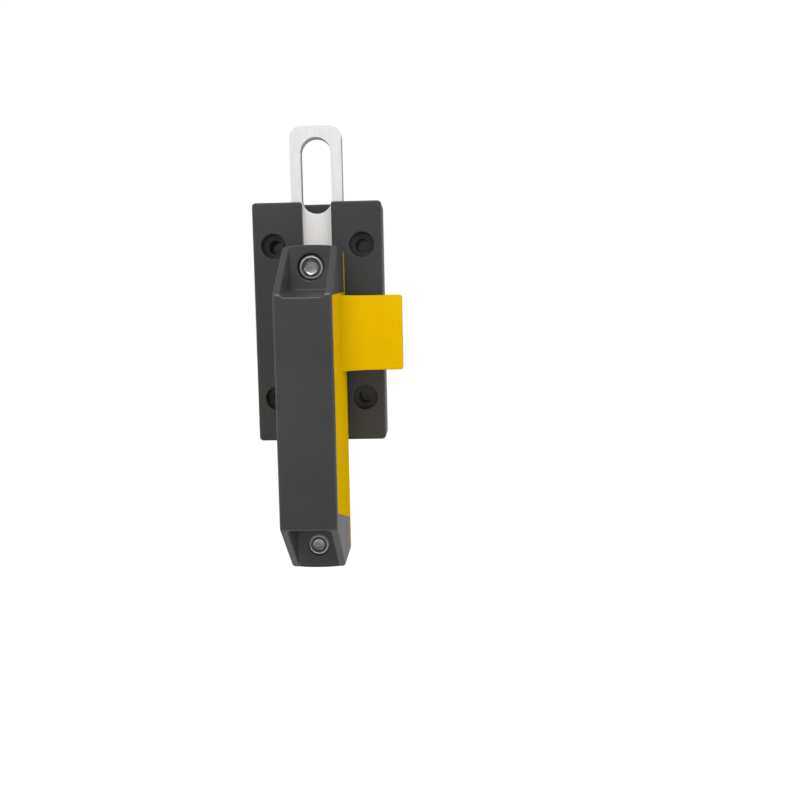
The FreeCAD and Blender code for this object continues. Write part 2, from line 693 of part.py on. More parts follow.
def grip_envelope():
    """The outside of the black grip before its pockets are cut."""
    drop = FRONT_LEVEL - END_LEVEL
    over = 3.0
    side = [
        (SHELL_BACK_LEVEL - 1, GRIP_LOW - over),
        (END_LEVEL - over * drop / BOTTOM_SLOPE, GRIP_LOW - over),
        (FRONT_LEVEL, FLAT_LOW),
        (FRONT_LEVEL, FLAT_TOP),
        (END_LEVEL - over * drop / TOP_SLOPE, GRIP_TOP + over),
        (SHELL_BACK_LEVEL - 1, GRIP_TOP + over),
    ]
    body = lateral(side, [0, 0, FOLD_R, FOLD_R, 0, 0], GRIP_LEFT - 1, GRIP_RIGHT + 1)
    body = body.common(grip_outline(front(SHELL_BACK_LEVEL), front(FRONT_LEVEL + 1)))
    fold = lambda b: b.YLength < 1e-3 and b.ZLength < 1e-3
    return rounded(body, GRIP_EDGE_R, lambda b: b.YMax < front(END_LEVEL - 6) and not fold(b))


def pockets():
    """The rooms between the ridges of both ends, down to the screws' floors."""
    left, right = GRIP_X - POCKET_WIDTH / 2, GRIP_X + POCKET_WIDTH / 2
    out = FRONT_LEVEL + 2
    share = (out - END_LEVEL) / (FRONT_LEVEL - END_LEVEL)
    tools = []
    for sign, flat, foot, top in (
        (1, FLAT_TOP, TOP_RISER_FOOT, TOP_RISER_START),
        (-1, FLAT_LOW, BOTTOM_RISER_FOOT, BOTTOM_RISER_START),
    ):
        start = flat + sign * foot
        face = flat + sign * (foot + share * (top - foot))
        end = flat + sign * FAR
        side = [(END_LEVEL, start), (out, face), (out, end), (END_LEVEL, end)]
        tool = lateral(side, [0] * 4, left, right)
        near = start if sign > 0 else face
        corner = lambda b: b.XLength < 1e-3 and b.YLength > 5 and abs(b.ZMin - near) < 8
        tools.append(rounded(tool, POCKET_CORNER_R, corner))
    return tools


def rim_rounded(body):
    """The grip with its pockets' rims rounded, but not their floors or inner corners."""
    half, floor = POCKET_WIDTH / 2 + 0.01, front(END_LEVEL)

    def is_rim(b):
        between = b.XMin > GRIP_X - half and b.XMax < GRIP_X + half
        inner_corner = b.YLength > FOLD_R and b.ZLength < FOLD_R + POCKET_CORNER_R
        return between and b.YMax < floor - POCKET_RIM_R and not inner_corner

    return rounded(body, POCKET_RIM_R, is_rim)


def seam_window(gap, proud):
    """The room that the yellow core takes out of the grip, less a gap, and proud of its sides."""
    side = [
        (SHELL_BACK_LEVEL - 1, FLAT_LOW - BOTTOM_SEAM_BACK + gap),
        (CORE_FRONT_LEVEL - gap, FLAT_LOW - BOTTOM_SEAM_FRONT + gap),
        (CORE_FRONT_LEVEL - gap, FLAT_TOP + TOP_SEAM_FRONT - gap),
        (SHELL_BACK_LEVEL - 1, FLAT_TOP + TOP_SEAM_BACK - gap),
    ]
    body = lateral(side, [0, 0, 0, 0], GRIP_LEFT - proud, GRIP_RIGHT + proud)
    half = POCKET_WIDTH / 2 + gap
    near, far = front(SHELL_BACK_LEVEL), front(FRONT_LEVEL + 1)
    top_end = block(GRIP_X - half, GRIP_X + half, near, far, CORE_TOP - gap, FAR)
    low_end = block(GRIP_X - half, GRIP_X + half, near, far, CORE_BOTTOM + gap, -FAR)
    return body.cut(top_end).cut(low_end)


def screw_places():
    """Each grip screw's size, z, pocket diameter and how far its head sinks."""
    return [
        (TOP_SCREW, TOP_SCREW_Z, TOP_POCKET_D, TOP_HEAD_SINK),
        (BOTTOM_SCREW, BOTTOM_SCREW_Z, BOTTOM_POCKET_D, BOTTOM_HEAD_SINK),
    ]


def screw_seat(size, sink):
    """The y of the face that a grip screw's head presses on."""
    return front(END_LEVEL - sink - size["head_h"])


def end_rooms():
    """The hollow under each pocket floor, with the screw's boss left standing."""
    half = POCKET_WIDTH / 2
    near, far = front(SHELL_BACK_LEVEL - 1), front(END_LEVEL - FLOOR_WALL)
    top = GRIP_TOP - END_BOW - SHELL_WALL
    low = GRIP_LOW + END_BOW + SHELL_WALL
    spans = [(CORE_TOP, top), (low, CORE_BOTTOM)]
    rooms = []
    for (z0, z1), (size, z, pocket_d, sink) in zip(spans, screw_places()):
        room = block(GRIP_X - half, GRIP_X + half, near, far, z0, z1)
        room = room.cut(rod(SCREW_BOSS_D, front(INSERT_LEVEL), far, GRIP_X, z))
        rooms.append(room.fuse(rod(INSERT_BOSS_D + 2 * PART_GAP, near, front(INSERT_LEVEL), GRIP_X, z)))
    return rooms


def grip_shell():
    """The black grip."""
    body = grip_envelope()
    for tool in pockets():
        body = body.cut(tool)
    body = rim_rounded(body)
    for tool in [seam_window(0, 1)] + end_rooms():
        body = body.cut(tool)
    for size, z, pocket_d, sink in screw_places():
        seat = screw_seat(size, sink)
        rim, r = front(END_LEVEL), pocket_d / 2
        shank = size["thread"] / 2 + HOLE_PLAY
        profile = [
            (0, rim - 1), (r + RIM_CHAMFER, rim - 1), (r + RIM_CHAMFER, rim), (r, rim + RIM_CHAMFER),
            (r, seat), (shank, seat), (shank, front(SHELL_BACK_LEVEL)), (0, front(SHELL_BACK_LEVEL)),
        ]
        body = body.cut(turned(profile, GRIP_X, z))
    return body


def tongue():
    """The tongue with the large hollow fillet that joins it to the side."""
    back, face = BACK_LEVEL, BACK_LEVEL + TONGUE_THICKNESS
    low = SPINDLE_Z - TONGUE_HEIGHT / 2
    r = TONGUE_FILLET_R
    root = V(GRIP_RIGHT, front(face + r), low)
    reach = V(GRIP_RIGHT + r, front(face), low)
    hollow = V(GRIP_RIGHT + r - r * math.sqrt(0.5), front(face + r - r * math.sqrt(0.5)), low)
    tip_face, tip_back = V(TONGUE_REACH, front(face), low), V(TONGUE_REACH, front(back), low)
    inner_back, inner_face = V(GRIP_X, front(back), low), V(GRIP_X, front(face + r), low)
    edges = [Part.Arc(root, hollow, reach).toShape()]
    corners = [reach, tip_face, tip_back, inner_back, inner_face, root]
    edges += [Part.LineSegment(a, b).toShape() for a, b in zip(corners, corners[1:])]
    body = prism(Part.Wire(edges), V(0, 0, TONGUE_HEIGHT))
    tip_corner = lambda b: b.XMin > TONGUE_REACH - 1e-3 and b.YLength > 1
    body = rounded(body, TONGUE_CORNER_R, tip_corner)
    tip_edge = lambda b: b.XMin > TONGUE_REACH - 1e-3 and b.ZLength > 1
    return rounded(body, TONGUE_EDGE_R, tip_edge)


def core_hollows():
    """The rooms inside the yellow core, open to the front, with ribs between them."""
    half = GRIP_WIDTH / 2 - CORE_WALL
    left, right, far = GRIP_X - half, GRIP_X + half, front(CORE_FRONT_LEVEL + 1)
    hub_top, hub_low = SPINDLE_Z + HUB_BLOCK / 2, SPINDLE_Z - HUB_BLOCK / 2
    end = CORE_BOTTOM + CORE_WALL
    rooms = [block(left, right, front(HUB_TOP_LEVEL), far, CORE_TOP - CORE_WALL, hub_low)]
    pitch = (hub_low - end) / CORE_RIBS
    for i in range(CORE_RIBS):
        z0 = end + i * pitch + (CORE_RIB / 2 if i else 0)
        z1 = end + (i + 1) * pitch - (CORE_RIB / 2 if i < CORE_RIBS - 1 else 0)
        rooms.append(block(left, right, front(SHELL_BACK_LEVEL), far, z0, z1))
    return rooms


def target_place():
    """The x of the coded target's centre in the tongue."""
    return TONGUE_REACH - TARGET_FROM_TIP


def actuator_body():
    """The yellow moulding: back plate, hollow core, hub, insert bosses and tongue."""
    plate = grip_outline(front(BACK_LEVEL), front(SHELL_BACK_LEVEL))
    hub_back = HUB_BOSS_HEIGHT + WASHER_THICKNESS + HOLE_PLAY
    hub = rod(HUB_D, front(hub_back), front(BACK_LEVEL + 1), 0, SPINDLE_Z)
    body = plate.fuse([seam_window(PART_GAP, 0), hub, tongue()])
    boss_top = front(INSERT_LEVEL - PART_GAP)
    for size, z, pocket_d, sink in screw_places():
        body = body.fuse(rod(INSERT_BOSS_D, front(BACK_LEVEL + 1), boss_top, GRIP_X, z))
    for room in core_hollows():
        body = body.cut(room)
    for size, z, pocket_d, sink in screw_places():
        body = body.cut(insert_bore(size, z))
    shoulder = front(BACK_LEVEL)
    across = SQUARE + 2 * PRESS_PLAY
    square = rectangle(
        across, across, SQUARE_CORNER_R, front(HUB_TOP_LEVEL + 1), shoulder, 0, SPINDLE_Z
    )
    shaft = rod(SPINDLE_D + 2 * PRESS_PLAY, shoulder, front(0), 0, SPINDLE_Z)
    floor = front(BACK_LEVEL + TARGET_COVER + TARGET_DEPTH)
    target = rod(TARGET_D, front(BACK_LEVEL - 1), floor, target_place(), SPINDLE_Z)
    return body.cut(square).cut(shaft).cut(target)


def insert_outer(size):
    """The outside diameter of a threaded insert."""
    return size["thread"] + 2 * INSERT_WALL


def insert_bore(size, z):
    """The blind bore that an insert is pressed into."""
    low = front(INSERT_LEVEL - PART_GAP - INSERT_LENGTH)
    bore = rod(insert_outer(size) + 2 * PRESS_PLAY, low, front(INSERT_LEVEL + 1), GRIP_X, z)
    tip = screw_seat(size, 0) + size["length"] + TOP_HEAD_SINK
    return bore.fuse(rod(size["thread"] + HOLE_PLAY, low - 1, max(tip, low) + 0.5, GRIP_X, z))


def threaded_insert(size, z):
    """A brass insert with two knurled bands shown as collars."""
    top = front(INSERT_LEVEL - PART_GAP)
    r, step = insert_outer(size) / 2, INSERT_LENGTH / 5
    bore = size["thread"] / 2 + PRESS_PLAY
    waist = r - INSERT_WAIST
    profile = [
        (bore, top), (r, top), (r, top + 2 * step), (waist, top + 2 * step),
        (waist, top + 3 * step), (r, top + 3 * step), (r, top + 5 * step), (bore, top + 5 * step),
    ]
    return turned(profile, GRIP_X, z)


def spindle_washer():
    """The washer under the spindle screw's head, on the hub's front."""
    low = front(HUB_TOP_LEVEL)
    disc = rod(HUB_SCREW_WASHER_D, low - HUB_SCREW_WASHER, low, 0, SPINDLE_Z)
    return disc.cut(rod(HUB_SCREW["thread"] + HOLE_PLAY, low - 2, low + 1, 0, SPINDLE_Z))


def spindle_screw():
    """The screw that draws the actuator onto the spindle's square."""
    return socket_screw(HUB_SCREW, front(HUB_TOP_LEVEL) - HUB_SCREW_WASHER, 0, SPINDLE_Z)


def coded_target():
    """The flat puck that the switch reads."""
    low = front(BACK_LEVEL + TARGET_COVER)
    return rod(TARGET_D - 2 * PART_GAP, low, low - TARGET_DEPTH + PART_GAP, target_place(), SPINDLE_Z)


def target_cover():
    """The disc that closes the target's pocket, flush with the tongue's back."""
    back = front(BACK_LEVEL)
    return rod(TARGET_D - 2 * PART_GAP, back, back - TARGET_COVER, target_place(), SPINDLE_Z)


NODES = {
    "base_housing": base_housing,
    "back_cover": back_cover,
    "cover_screws": cover_screws,
    "front_bush": front_bush,
    "rear_bush": rear_bush,
    "hub_washer": hub_washer,
    "stop_pin": stop_pin,
    "index_balls": index_balls,
    "index_springs": index_springs,
    "slide_stop_pin": slide_stop_pin,
    "slide_detent_ball": slide_detent_ball,
    "slide_detent_spring": slide_detent_spring,
    "slide_detent_plug": slide_detent_plug,
    "lockout_slide": lockout_slide,
    "grip_shell": grip_shell,
    "actuator_body": actuator_body,
    "spindle": spindle,
    "spindle_screw": spindle_screw,
    "spindle_washer": spindle_washer,
    "index_disc": index_disc,
    "retaining_ring": retaining_ring,
    "grip_screw_top": lambda: socket_screw(
        TOP_SCREW, screw_seat(TOP_SCREW, TOP_HEAD_SINK), GRIP_X, TOP_SCREW_Z
    ),
    "grip_screw_bottom": lambda: socket_screw(
        BOTTOM_SCREW, screw_seat(BOTTOM_SCREW, BOTTOM_HEAD_SINK), GRIP_X, BOTTOM_SCREW_Z
    ),
    "insert_top": lambda: threaded_insert(TOP_SCREW, TOP_SCREW_Z),
    "insert_bottom": lambda: threaded_insert(BOTTOM_SCREW, BOTTOM_SCREW_Z),
    "coded_target": coded_target,
    "target_cover": target_cover,
}

os.makedirs("parts", exist_ok=True)
for name, make in NODES.items():
    shape = make()
    print(name, "solids", len(shape.Solids), "valid", shape.isValid(), "volume", round(shape.Volume, 1))
    shape.exportStep(os.path.join("parts", name + ".step"))
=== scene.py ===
"""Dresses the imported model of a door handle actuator: finishes, knurled screws, floor, light, camera.

Metres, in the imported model's own frame: +Z is up, the front faces -Y.
"""
import math

import bpy
from bpy.props import FloatProperty, FloatVectorProperty, PointerProperty
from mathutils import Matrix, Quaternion, Vector


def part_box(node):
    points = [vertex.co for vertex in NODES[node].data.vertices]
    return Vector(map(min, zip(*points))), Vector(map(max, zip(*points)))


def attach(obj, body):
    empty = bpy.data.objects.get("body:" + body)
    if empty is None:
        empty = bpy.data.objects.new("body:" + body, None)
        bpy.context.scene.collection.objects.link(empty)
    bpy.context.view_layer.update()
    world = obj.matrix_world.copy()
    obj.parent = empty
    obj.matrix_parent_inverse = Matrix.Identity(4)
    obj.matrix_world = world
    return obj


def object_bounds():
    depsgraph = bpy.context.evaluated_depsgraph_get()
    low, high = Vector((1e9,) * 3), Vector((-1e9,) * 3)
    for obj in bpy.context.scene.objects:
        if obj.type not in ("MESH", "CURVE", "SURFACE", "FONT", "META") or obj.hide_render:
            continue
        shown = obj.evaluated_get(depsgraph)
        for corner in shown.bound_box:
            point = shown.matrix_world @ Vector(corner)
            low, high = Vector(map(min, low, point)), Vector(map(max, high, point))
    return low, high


bl_info = {
    "name": "Door handle actuator",
    "version": (1, 0, 0),
    "blender": (4, 5, 0),
    "location": "3D View > Sidebar > Actuator",
    "description": "Finishes, knurled screws, floor, light and camera for a door handle actuator",
    "category": "Object",
}

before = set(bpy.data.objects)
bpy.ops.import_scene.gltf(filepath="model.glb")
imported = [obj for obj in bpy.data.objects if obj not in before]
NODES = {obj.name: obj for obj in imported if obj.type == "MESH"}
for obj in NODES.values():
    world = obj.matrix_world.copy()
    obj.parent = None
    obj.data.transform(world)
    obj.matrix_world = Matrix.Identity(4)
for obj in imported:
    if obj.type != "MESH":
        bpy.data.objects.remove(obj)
CAD_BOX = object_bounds()
MM = 0.001
BACKWARDS = (0, 1, 0)

# A Mix node's sockets for colours, which share their names with those for numbers
MIX_A, MIX_B, MIX_RESULT = 6, 7, 2

# The part of its range that a noise really uses, the samples of a rounded edge or a recess, and the factor that
# a Wave node puts on its scale
NOISE_LOW, NOISE_HIGH = 0.3, 0.7
SAMPLES = 8
WAVE_FACTOR = 20

# Colours that the panel doesn't set, and the factors between those that it sets and a part's own
BEARING_BLACK = (0.05, 0.05, 0.05)
POTTING_BLACK = (0.08, 0.08, 0.085)
BRASS = (0.62, 0.44, 0.17)
COVER_SHADE = 0.9
SLIDE_SHADE = 1.12
COVER_SCREW_SHADE = 0.8
MECHANISM_SHADE = 0.9

# Moulded plastic
FLOW_SIZE = 30 * MM
PATCH_SIZE = 6 * MM
PATCH_ROUGHNESS = 0.03
# How far the lighter edges reach: a little wear, mostly a painted highlight
RUB_AND_HIGHLIGHT_REACH = 0.5
# How far a recess is sought for the light or shade painted into it
RECESS_REACH = 12 * MM

# Brushed steel
BRUSH_SIZE = 0.35 * MM
BRUSH_DEPTH = 0.004 * MM
BRUSH_ROUGHNESS = 0.06
BRUSH_SHADES = (0.93, 1.04)
BRUSH_EDGE_R = 0.15 * MM

# How far along Y a face may look before it counts less and less as a side, and then not at all
SIDE_FULL, SIDE_NONE = 0.2, 0.8

# Turned metal
FLECK_SIZE = 0.8 * MM
FLECK_ROUGHNESS = 0.05
FLECK_SHADES = (0.92, 1.05)
RING_DEPTH = 0.003 * MM
TURNED_EDGE_R = 0.12 * MM

# Socket screws: the socket's and the flat face's radius as shares of the head's, the head's height as a share of its
# diameter, the width of the fade between finishes, and how socket and rim differ from the face; the socket's darker
# colour is painted shade
SOCKET_SHARE = 0.52
RIM_SHARE = 0.86
HEAD_HEIGHT_SHARE = 0.6
RING_FADE = 0.05
SOCKET_PAINTED_SHADE = 0.75
DULL_METALLIC = 0.3
DULL_ROUGHNESS = 0.5
SOCKET_SCREWS = ("grip_screw_top", "grip_screw_bottom", "spindle_screw")

# Discs that close the mounting holes from behind, a little wider than the holes: a grey stand-in for the shaded
# surface seen through the holes, with a faint painted glow
HOLE_SPACING_X = 41 * MM
HOLE_SPACING_Z = 71 * MM
BACKING_R = 3.35 * MM
BACKING_GAP = 0.05 * MM
BACKING_SIDES = 32
BACKING_PAINTED_GLOW = 0.006
BACKING_GREY = (0.10, 0.10, 0.10)

# Floor, its share of glow for the camera and how strongly it glows there
FLOOR_HALF = 4.0
FLOOR_COLOUR = (0.85, 0.85, 0.85)
FLOOR_GLOW_SHARE = 0.85
FLOOR_GLOW = 1.12

# Degrees from straight in front: gloss sees the room turn white over the first two, and darker over the last two
GLOSS_ANGLES = (25, 55, 93, 118)

# Camera, with the sensor's width in millimetres
SENSOR_WIDTH = 36
CLIP_NEAR, CLIP_FAR = 0.01, 50

# Each lamp's name, place, side and whether gloss shows it
LAMPS = (
    ("key", (-0.65, -0.90, 0.15), 0.6, True),
    ("fill", (0.80, -0.75, 0.0), 0.4, False),
    ("top", (0.0, -0.68, 0.92), 0.6, True),
    ("front", (0.0, -1.10, -0.05), 0.3, False),
    ("rear", (-0.50, 1.10, 0.40), 0.5, False),
    ("bounce", (0.75, 0.65, -0.05), 0.6, False),
)

STEEL_PARTS = [
    "spindle", "spindle_washer", "index_disc", "index_balls", "index_springs", "retaining_ring", "stop_pin",
    "slide_stop_pin", "slide_detent_ball", "slide_detent_spring", "slide_detent_plug",
]


class ActuatorFinish(bpy.types.PropertyGroup):
    """Colours and surface of the moulded and metal parts."""

    base_black: FloatVectorProperty(
        name="Base", description="Colour of the base's moulding", size=3, subtype="COLOR",
        min=0, max=1, default=(0.040, 0.041, 0.042),
    )
    grip_black: FloatVectorProperty(
        name="Grip", description="Colour of the grip's moulding", size=3, subtype="COLOR",
        min=0, max=1, default=(0.040, 0.0395, 0.040),
    )
    yellow: FloatVectorProperty(
        name="Actuator", description="Colour of the actuator's moulding", size=3, subtype="COLOR",
        min=0, max=1, default=(0.69, 0.42, 0.001),
    )
    steel: FloatVectorProperty(
        name="Steel", description="Colour of the stainless steel", size=3, subtype="COLOR",
        min=0, max=1, default=(0.74, 0.73, 0.72),
    )
    grain: FloatProperty(
        name="Grain", description="Width of the moulded grain", default=0.35 * MM,
        min=0.05 * MM, max=5 * MM, unit="LENGTH", precision=5,
    )
    soft_edge: FloatProperty(
        name="Edge", description="Radius of the softened edges", default=0.25 * MM,
        min=0, max=2 * MM, unit="LENGTH", precision=5,
    )


class ActuatorKnurl(bpy.types.PropertyGroup):
    """Sizes of the knurled bands on the socket screws' heads."""

    pitch: FloatProperty(
        name="Pitch", description="Distance from tooth to tooth", default=0.62 * MM,
        min=0.2 * MM, max=3 * MM, unit="LENGTH", precision=5,
    )
    stand: FloatProperty(
        name="Stand", description="How far a tooth stands out of the head", default=0.12 * MM,
        min=0.02 * MM, max=1 * MM, unit="LENGTH", precision=5,
    )
    rim: FloatProperty(
        name="Rim", description="Plain band left at each end of the head", default=0.9 * MM,
        min=0, max=3 * MM, unit="LENGTH", precision=5,
    )


class ActuatorStage(bpy.types.PropertyGroup):
    """Floor, lamps and camera."""

    floor_drop: FloatProperty(
        name="Floor drop", description="Distance of the floor below the handle's lowest point",
        default=0.12, min=0, max=1, unit="LENGTH",
    )
    camera_place: FloatVectorProperty(
        name="Camera", description="Where the camera stands", size=3, subtype="TRANSLATION",
        unit="LENGTH", default=(0.04888, -0.41644, -0.00118), precision=5,
    )
    camera_aim: FloatVectorProperty(
        name="Aim", description="The point that the camera looks at", size=3, subtype="TRANSLATION",
        unit="LENGTH", default=(0.03633, 0.0, -0.03900), precision=5,
    )
    camera_roll: FloatProperty(
        name="Roll", description="Turn of the camera about its own line of sight", subtype="ANGLE",
        default=math.radians(-1.15),
    )
    lens: FloatProperty(
        name="Lens", description="Focal length in millimetres on a 36 mm sensor", default=38.11,
        min=10, max=200,
    )
    key: FloatProperty(
        name="Key", description="Power of the soft lamp at the left in watts", default=1.0, min=0, max=200,
    )
    fill: FloatProperty(
        name="Fill", description="Power of the lamp at the right, unseen in gloss, in watts", default=2.9,
        min=0, max=200,
    )
    top: FloatProperty(
        name="Top", description="Power of the lamp above in watts", default=5.2, min=0, max=200,
    )
    front: FloatProperty(
        name="Front", description="Power of the lamp beside the camera, unseen in gloss, in watts", default=2.5,
        min=0, max=200,
    )
    rear: FloatProperty(
        name="Rear", description="Power of the lamp behind at the left, unseen in gloss, in watts", default=3.5,
        min=0, max=200,
    )
    bounce: FloatProperty(
        name="Bounce", description="Power of the lamp behind at the right, unseen in gloss, in watts", default=2.3,
        min=0, max=200,
    )
    room: FloatProperty(
        name="Room", description="Strength of the room's light on dull surfaces", default=0.36,
        min=0, max=2,
    )
    room_front: FloatProperty(
        name="Room in front", description="How light gloss sees the room straight in front", default=0.06,
        min=0, max=2,
    )
    room_back: FloatProperty(
        name="Room behind", description="How light gloss sees the room straight behind", default=0.4,
        min=0, max=2,
    )
    floor_back: FloatProperty(
        name="Floor behind", description="How light gloss sees the floor straight behind", default=0.5,
        min=0, max=2,
    )


def node(tree, kind, **settings):
    """A new node with its settings."""
    made = tree.nodes.new(kind)
    for key, value in settings.items():
        setattr(made, key, value)
    return made


def fill(tree, wanted, value):
    """Links an input to another node's output, or sets it to a plain value."""
    if isinstance(value, bpy.types.NodeSocket):
        tree.links.new(value, wanted)
    else:
        wanted.default_value = value


def new_material(name):
    """An empty material, its tree and its shader."""
    material = bpy.data.materials.new(name)
    material.use_nodes = True
    tree = material.node_tree
    tree.nodes.clear()
    shader = node(tree, "ShaderNodeBsdfPrincipled")
    output = node(tree, "ShaderNodeOutputMaterial")
    tree.links.new(shader.outputs["BSDF"], output.inputs["Surface"])
    return material, tree, shader


def place(tree, centre=(0, 0, 0), scale=(1, 1, 1)):
    """Object coordinates, moved to a centre and then stretched."""
    coordinates = node(tree, "ShaderNodeTexCoord")
    mapping = node(tree, "ShaderNodeMapping", vector_type="POINT")
    mapping.inputs["Scale"].default_value = scale
    mapping.inputs["Location"].default_value = [-c * s for c, s in zip(centre, scale)]
    tree.links.new(coordinates.outputs["Object"], mapping.inputs["Vector"])
    return mapping.outputs["Vector"]


def ranged(tree, value, from_min, from_max, to_min=0.0, to_max=1.0):
    """A value taken from one range to another and held inside it."""
    made = node(tree, "ShaderNodeMapRange")
    fill(tree, made.inputs["Value"], value)
    fill(tree, made.inputs["From Min"], from_min)
    fill(tree, made.inputs["From Max"], from_max)
    fill(tree, made.inputs["To Min"], to_min)
    fill(tree, made.inputs["To Max"], to_max)
    return made.outputs["Result"]


def rest_of(tree, share):
    """One minus a share."""
    made = node(tree, "ShaderNodeMath", operation="SUBTRACT")
    made.inputs[0].default_value = 1.0
    tree.links.new(share, made.inputs[1])
    return made.outputs["Value"]


def agreement(tree, direction, other):
    """One where two directions are the same, nothing where they are square, less than nothing where they oppose."""
    made = node(tree, "ShaderNodeVectorMath", operation="DOT_PRODUCT")
    fill(tree, made.inputs[0], direction)
    fill(tree, made.inputs[1], other)
    return made.outputs["Value"]


def between(tree, share, low, high):
    """A number between two others."""
    made = node(tree, "ShaderNodeMix", data_type="FLOAT")
    fill(tree, made.inputs["Factor"], share)
    fill(tree, made.inputs["A"], low)
    fill(tree, made.inputs["B"], high)
    return made.outputs["Result"]


def rgba(colour):
    """A colour with its opacity, or a socket as it is."""
    return colour if isinstance(colour, bpy.types.NodeSocket) else (*colour, 1)


def tint(tree, share, colour, other, blend="MIX"):
    """A colour turned into another, or blended with it, as far as a share from nothing to one says."""
    made = node(tree, "ShaderNodeMix", data_type="RGBA", blend_type=blend)
    fill(tree, made.inputs["Factor"], share)
    fill(tree, made.inputs[MIX_A], rgba(colour))
    fill(tree, made.inputs[MIX_B], rgba(other))
    return made.outputs[MIX_RESULT]


def lightened(tree, share, colour, factor):
    """A colour made lighter or darker as far as a share from nothing to one says."""
    return tint(tree, share, colour, (factor, factor, factor), "MULTIPLY")


def shaded(colour, factor):
    """A plain colour made lighter or darker."""
    return [min(1.0, c * factor) for c in colour]


def noise(tree, vector, size, detail=3):
    """Noise whose lumps have about this size in metres."""
    made = node(tree, "ShaderNodeTexNoise")
    made.inputs["Scale"].default_value = 1 / size
    made.inputs["Detail"].default_value = detail
    tree.links.new(vector, made.inputs["Vector"])
    return made.outputs["Fac"]


def spread(tree, value, low, high):
    """A noise value spread over a range."""
    return ranged(tree, value, NOISE_LOW, NOISE_HIGH, low, high)


def speckled(tree, value, colour, shades):
    """A colour that a noise value takes from its darker shade to its lighter one, given as factors."""
    darker, lighter = shades
    return tint(tree, spread(tree, value, 0, 1), shaded(colour, darker), shaded(colour, lighter))


def bump(tree, height, depth, below):
    """A bump of this depth in metres on top of another normal."""
    made = node(tree, "ShaderNodeBump")
    made.inputs["Strength"].default_value = 1.0
    made.inputs["Distance"].default_value = depth
    tree.links.new(height, made.inputs["Height"])
    tree.links.new(below, made.inputs["Normal"])
    return made.outputs["Normal"]


def soft_edges(tree, radius):
    """The normal of edges rounded by a radius."""
    made = node(tree, "ShaderNodeBevel", samples=SAMPLES)
    made.inputs["Radius"].default_value = radius
    return made.outputs["Normal"]


def edge_wear_and_highlight(tree, rounded):
    """One along the edges, where the rounded normal leaves the flat one, and nothing on the faces; the edges it
    marks are painted lighter, as wear and as a painted highlight.
    """
    geometry = node(tree, "ShaderNodeNewGeometry")
    return ranged(tree, agreement(tree, rounded, geometry.outputs["Normal"]), 1.0, 1.0 - RUB_AND_HIGHLIGHT_REACH)


def off_axis(tree):
    """One on faces that look sideways, and nothing on faces that look along Y."""
    geometry = node(tree, "ShaderNodeNewGeometry")
    either = node(tree, "ShaderNodeMath", operation="ABSOLUTE")
    tree.links.new(agreement(tree, geometry.outputs["Normal"], BACKWARDS), either.inputs[0])
    return ranged(tree, either.outputs["Value"], SIDE_NONE, SIDE_FULL)


def recesses(tree):
    """One deep in corners and pockets, and nothing on open faces; it marks where light or shade is painted into
    recesses.
    """
    open_sky = node(tree, "ShaderNodeAmbientOcclusion", samples=SAMPLES, only_local=True)
    open_sky.inputs["Distance"].default_value = RECESS_REACH
    return rest_of(tree, open_sky.outputs["AO"])


def near_axis(tree, centre, radius):
    """One within a radius of an axis along Y, and nothing outside it."""
    length = node(tree, "ShaderNodeVectorMath", operation="LENGTH")
    tree.links.new(place(tree, centre=centre, scale=(1, 0, 1)), length.inputs[0])
    return ranged(tree, length.outputs["Value"], radius * (1 + RING_FADE), radius * (1 - RING_FADE))


def moulded(
    name, colour, roughness, grain, grain_depth, soft,
    gloss=0.5, flow_tint=0.1, rub_and_highlight_tint=1.5, painted_recess_light=None,
):
    """Moulded plastic: spark-eroded grain, a faint flow pattern, edges painted light as wear and as a painted
    highlight and, if asked for, recesses painted lighter or darker than the open faces as painted light or shade."""
    material, tree, shader = new_material(name)
    here = place(tree)
    base = speckled(tree, noise(tree, here, FLOW_SIZE, detail=4), colour, (1 - flow_tint, 1 + flow_tint))
    rounded = soft_edges(tree, soft)
    # Edges painted lighter: a little wear, and a painted highlight standing in for light caught on rounded edges
    base = lightened(tree, edge_wear_and_highlight(tree, rounded), base, rub_and_highlight_tint)
    # Recesses painted lighter (painted light) or darker (painted shade) by a factor
    if painted_recess_light is not None:
        base = lightened(tree, recesses(tree), base, painted_recess_light)
    tree.links.new(base, shader.inputs["Base Color"])
    patches = noise(tree, here, PATCH_SIZE)
    rough = spread(tree, patches, roughness - PATCH_ROUGHNESS, roughness + PATCH_ROUGHNESS)
    tree.links.new(rough, shader.inputs["Roughness"])
    relief = bump(tree, noise(tree, here, grain), grain_depth, rounded)
    tree.links.new(relief, shader.inputs["Normal"])
    shader.inputs["Specular IOR Level"].default_value = gloss
    return material


def brushed(name, colour, roughness, along, metallic=1.0, side_shade=1.0):
    """Steel brushed in one direction, given as the stretch of the pattern along each axis. Its sideways faces are
    painted lighter or darker by a factor, as painted shade."""
    material, tree, shader = new_material(name)
    lines = noise(tree, place(tree, scale=along), BRUSH_SIZE)
    base = speckled(tree, lines, colour, BRUSH_SHADES)
    # Sideways faces painted lighter or darker, as painted shade
    tree.links.new(tint(tree, off_axis(tree), base, shaded(colour, side_shade)), shader.inputs["Base Color"])
    rough = spread(tree, lines, roughness - BRUSH_ROUGHNESS, roughness + BRUSH_ROUGHNESS)
    tree.links.new(rough, shader.inputs["Roughness"])
    relief = bump(tree, lines, BRUSH_DEPTH, soft_edges(tree, BRUSH_EDGE_R))
    tree.links.new(relief, shader.inputs["Normal"])
    shader.inputs["Metallic"].default_value = metallic
    return material


